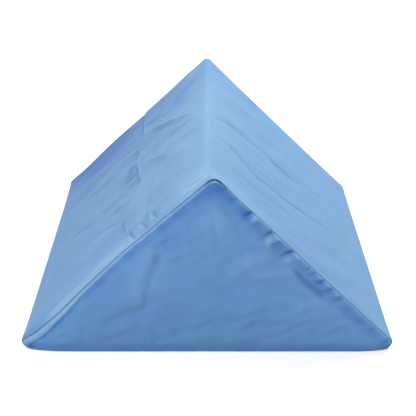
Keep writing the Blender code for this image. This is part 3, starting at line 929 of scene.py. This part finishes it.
def panel_painted_light_and_shade(front, points, weights):
    """How much painted light makes the cloth paler, or painted shade deeper, at each point of an
    end panel.
    """
    inward, seam_share = panel_places(weights)
    foot_reach, foot_amount = PAINTED_FOOT_SHADE
    # Painted shade along the foot
    amount = foot_amount * fall(inward["base"], foot_reach)
    if front:
        # Painted shade near the top and painted highlights on the puckers
        amount = amount + patches(PANEL_LIGHT_AND_SHADE_PATCHES, *points.T)
        # Painted light on raised folds, painted shade in their troughs
        amount = amount + FOLD_SHADING * fold_height(FRONT_PANEL_FOLDS, *points.T)
    short, long = PAINTED_SEAM_SHADE_WAVES
    middle, more = PAINTED_SEAM_SHADE_STRENGTH
    for side in ("left", "right"):
        away, along = inward[side], seam_share[side] * SLOPE_LENGTH
        uneven = middle + more * np.sin(along / short) + more * np.sin(along / long + 1.0)
        # Painted shade in a band beside each seam, and a painted highlight on the bead at the seam
        amount = amount + band(PAINTED_SEAM_SHADE, away) * uneven + band(PAINTED_BEAD_HIGHLIGHT[side], away)
        if front:
            # Painted light on raised puckers, painted shade in their troughs
            amount = amount + PUCKER_SHADING * pucker_heights(side, away, seam_share[side])
    if front:
        puffed, _, across = tongue(inward["left"], seam_share["left"])
        # Painted highlight on the roll at the left foot
        amount = amount + PAINTED_TONGUE_HIGHLIGHT * puffed * hump(across)
    return amount


def edge_faces(edge, back):
    """Faces that join a sheet's face to its back, whose numbers are higher, right round."""
    return [(end, start, start + back, end + back)
            for start, end in zip(edge, edge[1:] + edge[:1])]


def new_piece(name, points, faces, material, painted_light_and_shade=None):
    """Make a named piece of points and faces, shaded smooth, that rides on the cushion."""
    mesh = bpy.data.meshes.new(name)
    mesh.from_pydata(np.asarray(points).tolist(), [], faces)
    # The point attribute carries painted light and shade
    if painted_light_and_shade is not None:
        mesh.attributes.new("painted_light_and_shade", "FLOAT", "POINT").data.foreach_set("value", painted_light_and_shade)
    mesh.update()
    mesh.shade_smooth()
    mesh.materials.append(material)
    piece = bpy.data.objects.new(name, mesh)
    bpy.context.scene.collection.objects.link(piece)
    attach(piece, "root")
    return piece


class Wire:
    """The output of a node, on which sums are written as in plain Python."""

    def __init__(self, paint, socket):
        self.paint = paint
        self.socket = socket

    def math(self, operation, first, second):
        return self.paint.node("ShaderNodeMath", {"operation": operation}, {0: first, 1: second})

    def __add__(self, other):
        return self.math("ADD", self, other)

    __radd__ = __add__

    def __sub__(self, other):
        return self.math("SUBTRACT", self, other)

    def __rsub__(self, other):
        return self.math("SUBTRACT", other, self)

    def __mul__(self, other):
        return self.math("MULTIPLY", self, other)

    __rmul__ = __mul__

    def __abs__(self):
        return self.math("ABSOLUTE", self, 0.0)


class Paint:
    """A material and its nodes."""

    def __init__(self, name):
        self.material = bpy.data.materials.new(name)
        self.material.use_nodes = True
        self.tree = self.material.node_tree
        self.shader = self.tree.nodes["Principled BSDF"]

    def feed(self, node, inputs):
        """Set the inputs of a node to values or to other nodes' outputs."""
        for key, value in inputs.items():
            if isinstance(value, Wire):
                self.tree.links.new(value.socket, node.inputs[key])
            else:
                node.inputs[key].default_value = value

    def node(self, kind, settings, inputs, output=0):
        """Add a node: its type, its settings, the values or links of its inputs."""
        node = self.tree.nodes.new(kind)
        for key, value in settings.items():
            setattr(node, key, value)
        self.feed(node, inputs)
        return Wire(self, node.outputs[output])

    def place(self):
        """Where a point lies on its piece, then its x, y and z."""
        place = self.node("ShaderNodeTexCoord", {}, {}, output=3)
        axes = self.node("ShaderNodeSeparateXYZ", {}, {0: place}).socket.node
        return place, *(Wire(self, axes.outputs[i]) for i in range(3))

    def relief(self, height):
        """The direction of a surface that is raised by a height."""
        return self.node("ShaderNodeBump", {},
                         {"Strength": 1.0, "Distance": 1.0, "Height": height})

    def sine(self, value):
        return self.node("ShaderNodeMath", {"operation": "SINE"}, {0: value})

    def clamp_range(self, value, low, high):
        """0 below low and 1 above high, eased between."""
        return self.node("ShaderNodeMapRange", {"interpolation_type": "SMOOTHSTEP"},
                         {"Value": value, "From Min": low, "From Max": high})

    def mix(self, share, first, second):
        """A colour between two."""
        return self.node("ShaderNodeMix", {"data_type": "RGBA"},
                         {0: share, 6: first, 7: second}, output=2)

    def noise(self, place, scale, detail, stretch=(1.0, 1.0, 1.0)):
        """Soft chance pattern, from 0 to 1."""
        stretched = self.node("ShaderNodeVectorMath", {"operation": "MULTIPLY"},
                              {0: place, 1: stretch})
        return self.node("ShaderNodeTexNoise", {},
                         {"Vector": stretched, "Scale": scale, "Detail": detail})


def woven_cloth(name, on_slope):
    """Plain woven cotton with thread waves, slubs, slow changes of cast, and painted light and
    shade.
    """
    cover = bpy.context.scene.cover
    paint = Paint(name)
    place, x, y, z = paint.place()
    fine, coarse = THREAD_ACROSS, THREAD_ALONG
    if on_slope:
        across, along = (abs(x) - z) * math.sqrt(0.5), y
        slub_scale, cross_scale = (fine, coarse, fine), (coarse, fine, coarse)
    else:
        across, along = x, z
        slub_scale, cross_scale = (coarse, coarse, fine), (fine, coarse, coarse)
    turn = math.pi / cover.weave_pitch
    weave = paint.sine(across * turn) * paint.sine(along * turn)
    slubs = paint.noise(place, 1.0, 3.0, slub_scale)
    cross = paint.noise(place, 1.0, 3.0, cross_scale)
    creases = paint.noise(place, CREASE_SCALE, 4.0)
    cast = paint.noise(place, CAST_SCALE, 3.0)

    threads = slubs + cross - 1.0
    shade = paint.clamp_range(cast + threads * THREAD_CAST, *CAST_RANGE)
    colour = paint.mix(shade, (*cover.cloth_colour, 1.0), (*cover.cool_colour, 1.0))
    # Painted light and shade from the point attribute, drifting a little with the cast: paler
    # towards the highlight colour, deeper towards the shade colour
    painted_light_and_shade = paint.node("ShaderNodeAttribute", {"attribute_name": "painted_light_and_shade"}, {}, output=2)
    painted_light_and_shade = painted_light_and_shade + (cast - 0.5) * LIGHT_AND_SHADE_DRIFT
    colour = paint.mix(painted_light_and_shade, colour, (*cover.pale_tone_and_highlight_colour, 1.0))
    colour = paint.mix(0.0 - painted_light_and_shade, colour, (*cover.painted_shade_colour, 1.0))

    height = weave * WEAVE_RELIEF + threads * THREAD_RELIEF + creases * CREASE_RELIEF
    paint.feed(paint.shader, {
        "Base Color": colour,
        "Roughness": CLOTH_ROUGHNESS + threads * THREAD_ROUGHNESS,
        "Normal": paint.relief(height),
        "Specular IOR Level": 0.14,
        "Sheen Weight": 0.10,
        "Sheen Roughness": 0.45,
        "Sheen Tint": (0.92, 0.96, 1.0, 1.0),
    })
    return paint.material


def sewing_thread():
    """Slightly lustrous twisted thread."""
    cover = bpy.context.scene.cover
    paint = Paint("sewing_thread")
    place, x, y, z = paint.place()
    twist = paint.sine((x + y * TWIST_LEAN + z) * (math.tau / cover.thread_size))
    tone = paint.noise(place, TONE_SCALE, 2.0)
    colour = paint.mix(tone, (*cover.thread_colour, 1.0), (*cover.pale_tone_and_highlight_colour, 1.0))
    paint.feed(paint.shader, {
        "Base Color": colour,
        "Roughness": SEWING_ROUGHNESS + tone * TONE_ROUGHNESS,
        "Normal": paint.relief(twist * TWIST_RELIEF),
        "Specular IOR Level": 0.40,
        "Sheen Weight": 0.12,
    })
    return paint.material


class CUSHION_OT_wrap(bpy.types.Operator):
    """Make the filled wedge in its wrap, closed behind each end panel"""

    bl_idname = "cushion.wrap"
    bl_label = "Wrap and Filling"

    def execute(self, context):
        rings = [settle(rim.ring(v), v - LENGTH / 2) for v, rim in stations()]
        count = len(rings[0])
        faces = []
        for near in range(len(rings) - 1):
            for i in range(count):
                j = (i + 1) % count
                a, b = near * count, (near + 1) * count
                faces.append((a + i, b + i, b + j, a + j))
        faces.append(tuple(range(count)))
        faces.append(tuple(range(len(rings) * count - 1, (len(rings) - 1) * count - 1, -1)))
        points = np.concatenate(rings)
        wrap = new_piece("cushion_wrap", points, faces, woven_cloth("wrap_weave", True),
                         slope_painted_light_and_shade(points))
        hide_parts("cushion_body")
        return {"FINISHED"}


class CUSHION_OT_end_panels(bpy.types.Operator):
    """Make the two triangular end panels, thin sheets sewn in at the ends"""

    bl_idname = "cushion.end_panels"
    bl_label = "End Panels"

    def execute(self, context):
        material = woven_cloth("panel_weave", False)
        for front in (True, False):
            end = "front" if front else "rear"
            points, faces, painted_light_and_shade = self.sheet(front, PANEL_DIVISIONS[end])
            panel = new_piece(end + "_panel_sheet", points, faces, material,
                              painted_light_and_shade)
            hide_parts(end + "_end_panel")
        return {"FINISHED"}

    def sheet(self, front, n):
        """Points, faces and painted light and shade of a panel: its face, its back and the edge
        between them.
        """
        outline = Rim(1.0, front, SEAM_GAP).outline()
        cells = [(i, j) for i in range(n + 1) for j in range(n + 1 - i)]
        place = {cell: number for number, cell in enumerate(cells)}
        grid = np.array([(i, j, n - i - j) for i, j in cells]) / n
        weights = grid**CORNER_CLUSTERING
        weights /= weights.sum(axis=1)[:, None]
        points = panel_points(outline, weights)
        outward = -1.0 if front else 1.0
        y = outward * (LENGTH / 2 + panel_heights(front, points, weights))
        painted_light_and_shade = np.tile(panel_painted_light_and_shade(front, points, weights), 2)
        if front:
            tip = smooth((points[:, 1] - HEIGHT) / APEX_NOTCH_HEIGHT + 1.0)
            points[:, 1] -= APEX_DROP * tip
        both = np.concatenate([settle(points, y), settle(points, y - outward * PANEL_THICKNESS)])
        back = len(cells)
        faces = []
        for i in range(n):
            for j in range(n - i):
                corners = [(place[i, j], place[i + 1, j], place[i, j + 1])]
                if i + j < n - 1:
                    corners.append((place[i + 1, j], place[i + 1, j + 1], place[i, j + 1]))
                for a, b, c in corners:
                    faces += [(a, b, c), (c + back, b + back, a + back)]
        edge = [(i, 0) for i in range(n)] + [(n - j, j) for j in range(n)]
        edge += [(0, j) for j in range(n, 0, -1)]
        faces += edge_faces([place[cell] for cell in edge], back)
        if not front:
            faces = [face[::-1] for face in faces]
        return both, faces, painted_light_and_shade


class CUSHION_OT_placket(bpy.types.Operator):
    """Make the hemmed overlap strip, loose along its lower edge"""

    bl_idname = "cushion.placket"
    bl_label = "Closure Placket"

    def execute(self, context):
        sleeve = Rim(0.0, True)
        places = lengthwise(FRONT_SETBACK + PLACKET_END_GAP, LENGTH - PLACKET_END_GAP)
        shares = np.linspace(0.0, 1.0, PLACKET_ROWS + 1)
        shares = shares - PLACKET_ROW_CROWDING * np.sin(math.tau * shares) / math.tau
        v, share = np.meshgrid(places, shares, indexing="ij")
        edge = PLACKET_EDGE + along_table(PLACKET_EDGE_WAVES, v)
        start = PLACKET_TOP - OVERLAP_STEP_WIDTH
        u = start + (edge - start) * share
        to_end = np.minimum(v - places[0], places[-1] - v)
        nearest = np.minimum(edge - u, to_end)
        rounding = np.sqrt(1.0 - np.clip(1.0 - nearest / PLACKET_TAPER, 0.0, 1.0) ** 2)
        step = OVERLAP_STEP * smooth(to_end / OVERLAP_END_REACH)
        loose = share**2 * smooth(to_end / PLACKET_LOOSE_REACH)
        under = PLACKET_FEATHER + PLACKET_LOOSE_LIFT * loose
        thick = np.maximum(step - OVERLAP_STEP * overlap_share(u, v), 0.0)
        pressed = smooth(v / PLACKET_PRESSED_REACH)
        full = PLACKET_PRESSED_SHARE + (1.0 - PLACKET_PRESSED_SHARE) * pressed
        thick = np.minimum(thick, PLACKET_THICKNESS * full) + PLACKET_FEATHER
        sewn = np.minimum(u - start, to_end)
        flat_end = (1.0 - smooth((edge - u) / PLACKET_FLAT_WIDTH)) * (
            1.0 - smooth(v / PLACKET_FLAT_REACH))
        under = under - PLACKET_SINK * (1.0 - smooth(sewn / PLACKET_SINK_REACH))
        under = under - PLACKET_FLAT_SINK * flat_end
        outward = direction(SIDE_ANGLES["left"])
        flat = sleeve.slope("left", u, v)
        halves = []
        kept = PLACKET_EDGE_SHARE + (1.0 - PLACKET_EDGE_SHARE) * rounding
        for side in (1.0, -1.0):
            height = under + thick / 2 + side * thick / 2 * kept
            halves.append(settle(flat + outward * height[..., None], v - LENGTH / 2))
        rows, columns = v.shape
        points = np.concatenate([half.reshape(-1, 3) for half in halves])
        back = rows * columns
        faces = []
        for i in range(rows - 1):
            for j in range(columns - 1):
                a, b = i * columns + j, (i + 1) * columns + j
                faces.append((a, a + 1, b + 1, b))
                faces.append((back + b, back + b + 1, back + a + 1, back + a))
        ring = [(0, j) for j in range(columns - 1)]
        ring += [(i, columns - 1) for i in range(rows - 1)]
        ring += [(rows - 1, j) for j in range(columns - 1, 0, -1)]
        ring += [(i, 0) for i in range(rows - 1, 0, -1)]
        faces += edge_faces([i * columns + j for i, j in ring], back)
        # Painted highlight along the hem's loose edge, where its bulge catches the light
        lit = band(PAINTED_HEM_HIGHLIGHT, edge - u) * pressed
        painted_light_and_shade = slope_painted_light_and_shade(points) + np.tile(lit.ravel(), 2)
        strip = new_piece("placket_strip", points, faces, woven_cloth("placket_weave", True),
                          painted_light_and_shade)
        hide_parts("closure_placket")
        return {"FINISHED"}


class CUSHION_OT_stitching(bpy.types.Operator):
    """Sew the placket's two rows and the seams round both end panels"""

    bl_idname = "cushion.stitching"
    bl_label = "Stitching"

    def execute(self, context):
        material = sewing_thread()
        sleeve = Rim(0.0, True)
        v = np.arange(STITCH_ROW_MARGIN, LENGTH - STITCH_ROW_MARGIN, STITCH_ROW_STEP)
        rows = []
        slope_out = direction(SIDE_ANGLES["left"])
        normal = np.tile([slope_out[0], 0.0, slope_out[1]], (len(v), 1))
        for row in STITCH_ROWS:
            flat = sleeve.slope("left", stitch_row(row, v), v)
            rows.append((settle(flat + slope_out * STITCH_ROW_LIFT, v - LENGTH / 2), normal))
        self.sew("placket_stitches", rows, material)
        for front in (True, False):
            rows = []
            outward = np.array([0.0, -1.0 if front else 1.0, 0.0])
            for run in Rim(1.0, front, SEAM_GAP / 2).outline():
                flat = along_run(run, np.linspace(0.0, 1.0, SEAM_STITCH_STEPS))
                setback = SEAM_STITCH_DEPTH + (FRONT_SETBACK if front else 0.0)
                y = outward[1] * (LENGTH / 2 - setback)
                rows.append((settle(flat, y), np.tile(outward, (len(flat), 1))))
            self.sew(("front" if front else "rear") + "_seam_stitches", rows, material)
        return {"FINISHED"}

    def sew(self, name, rows, material):
        """Lay short stitches end to end on each row of points."""
        cover = bpy.context.scene.cover
        sides, rings = STITCH_SIDES, STITCH_RINGS
        turns = np.linspace(0.0, math.tau, sides, endpoint=False)
        shares = np.linspace(-1.0, 1.0, rings)
        points, faces = [], []
        for places, normals in rows:
            steps = np.linalg.norm(np.diff(places, axis=0), axis=1)
            distance = np.concatenate([[0.0], np.cumsum(steps)])
            number = int(distance[-1] / cover.stitch_length)
            for k in range(number):
                middle = (k + 0.5) * distance[-1] / number
                centre, ahead, behind, normal = (
                    Vector([np.interp(at, distance, values[:, axis]) for axis in range(3)])
                    for at, values in ((middle, places), (middle + STITCH_TURN_REACH, places),
                                       (middle - STITCH_TURN_REACH, places),
                                       (middle, normals)))
                forward = (ahead - behind).normalized()
                aside = forward.cross(normal).normalized()
                rise = aside.cross(forward)
                first = len(points)
                for share in shares:
                    reach = cover.stitch_length * STITCH_HALF_SHARE * share
                    fullness = math.sqrt(max(1.0 - share**2, 0.0) + STITCH_END_GIRTH)
                    girth = cover.thread_size / 2 * fullness
                    dip = -cover.thread_size * STITCH_DIP * share**2
                    for turn in turns:
                        points.append(centre + forward * reach + rise * dip
                                      + aside * (girth * math.cos(turn))
                                      + rise * (girth * math.sin(turn)))
                for ring in range(rings - 1):
                    a, b = first + ring * sides, first + (ring + 1) * sides
                    for i in range(sides):
                        j = (i + 1) % sides
                        faces.append((a + i, a + j, b + j, b + i))
                faces.append(tuple(range(first + sides - 1, first - 1, -1)))
                last = first + (rings - 1) * sides
                faces.append(tuple(range(last, last + sides)))
        new_piece(name, points, faces, material)


class CUSHION_OT_studio(bpy.types.Operator):
    """Set the pale floor, the soft lights and the camera"""

    bl_idname = "cushion.studio"
    bl_label = "Studio"

    def execute(self, context):
        studio = context.scene.studio
        self.floor(studio)
        world = bpy.data.worlds.new("pale_surround")
        context.scene.world = world
        world.use_nodes = True
        background = world.node_tree.nodes["Background"]
        background.inputs["Color"].default_value = (1.0, 1.0, 1.0, 1.0)
        background.inputs["Strength"].default_value = studio.world_strength
        self.lamp("key", studio.key_power, studio.key_colour)
        self.lamp("rear", studio.rear_power, studio.rear_colour)
        context.scene.view_settings.view_transform = "Standard"
        self.camera(context)
        return {"FINISHED"}

    def floor(self, studio):
        """A large plain floor just under the cushion."""
        half = studio.floor_size / 2
        corners = [(-half, -half), (half, -half), (half, half), (-half, half)]
        mesh = bpy.data.meshes.new("floor")
        mesh.from_pydata([(x, y, FLOOR_LEVEL) for x, y in corners], [], [(0, 1, 2, 3)])
        paint = Paint("pale_floor")
        paint.feed(paint.shader, {"Base Color": (*studio.floor_colour, 1.0), "Roughness": 0.9,
                                  "Specular IOR Level": 0.1})
        mesh.materials.append(paint.material)
        floor = bpy.data.objects.new("floor", mesh)
        bpy.context.scene.collection.objects.link(floor)

    def lamp(self, name, power, colour):
        """A large square light turned to its target."""
        place, target, size = LAMPS[name]
        light = bpy.data.lights.new(name, "AREA")
        light.shape = "SQUARE"
        light.size = size
        light.energy = power
        light.color = colour
        lamp = bpy.data.objects.new(name, light)
        lamp.location = place
        lamp.rotation_euler = (Vector(target) - Vector(place)).to_track_quat("-Z", "Y").to_euler()
        bpy.context.scene.collection.objects.link(lamp)

    def camera(self, context):
        """The camera, turned, tipped down and rolled."""
        lens = bpy.data.cameras.new("camera")
        lens.lens = FOCAL_LENGTH
        camera = bpy.data.objects.new("camera", lens)
        forward = Matrix.Rotation(CAMERA_TURN, 3, "Z") @ Matrix.Rotation(-CAMERA_DOWN, 3, "X")
        upright = Matrix.Rotation(math.pi / 2, 3, "X") @ Matrix.Rotation(CAMERA_ROLL, 3, "Z")
        camera.matrix_world = Matrix.Translation(CAMERA_PLACE) @ (forward @ upright).to_4x4()
        context.scene.collection.objects.link(camera)
        context.scene.camera = camera


OPERATORS = (CUSHION_OT_wrap, CUSHION_OT_end_panels, CUSHION_OT_placket, CUSHION_OT_stitching,
             CUSHION_OT_studio)


class VIEW3D_PT_cushion(bpy.types.Panel):
    """Lists the steps that sew the cover"""

    bl_label = "Wedge Cushion"
    bl_space_type = "VIEW_3D"
    bl_region_type = "UI"
    bl_category = "Cushion"

    def draw(self, context):
        for settings in (context.scene.cover, context.scene.studio):
            box = self.layout.box()
            for name in settings.__annotations__:
                box.prop(settings, name)
        for operator in OPERATORS:
            self.layout.operator(operator.bl_idname)


CLASSES = (CoverSettings, StudioSettings, *OPERATORS, VIEW3D_PT_cushion)


def register():
    for item in CLASSES:
        bpy.utils.register_class(item)
    bpy.types.Scene.cover = PointerProperty(type=CoverSettings)
    bpy.types.Scene.studio = PointerProperty(type=StudioSettings)


def unregister():
    del bpy.types.Scene.studio
    del bpy.types.Scene.cover
    for item in reversed(CLASSES):
        bpy.utils.unregister_class(item)


def main():
    register()
    bpy.ops.cushion.wrap()
    bpy.ops.cushion.end_panels()
    bpy.ops.cushion.placket()
    bpy.ops.cushion.stitching()
    bpy.ops.cushion.studio()


if __name__ == "__main__":
    main()
